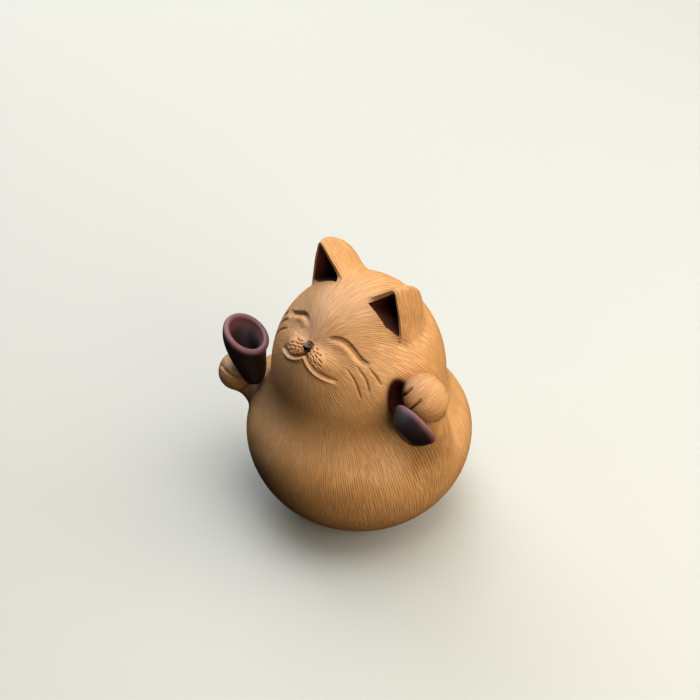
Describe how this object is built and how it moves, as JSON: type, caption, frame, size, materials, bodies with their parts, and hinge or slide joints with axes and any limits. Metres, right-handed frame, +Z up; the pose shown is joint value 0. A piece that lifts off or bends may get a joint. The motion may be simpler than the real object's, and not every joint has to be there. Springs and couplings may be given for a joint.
{
  "type": "clay cat figurine",
  "caption": "Gourd-shaped clay cat figurine with shut smiling eyes that holds a small hollow cup in one paw and a shallow bowl in the other.",
  "frame": {"origin": "middle of the flat underside that the figurine rests on", "axes": "+Z up through the belly and head, -Y the way the face looks, +X the cat's own left side"},
  "size_m": [0.0878, 0.0734, 0.0951],
  "materials": {
    "yellow_clay": "unglazed fine clay, matt with a faint sheen, engraved with fur strokes",
    "dark_clay": "burnished dark purple-brown clay, satin",
    "black_clay": "polished black clay, glossy"
  },
  "bodies": {
    "root": {"cat_body": "yellow_clay", "right_cup": "dark_clay", "left_cup": "dark_clay", "nose": "black_clay"}
  },
  "joints": []
}
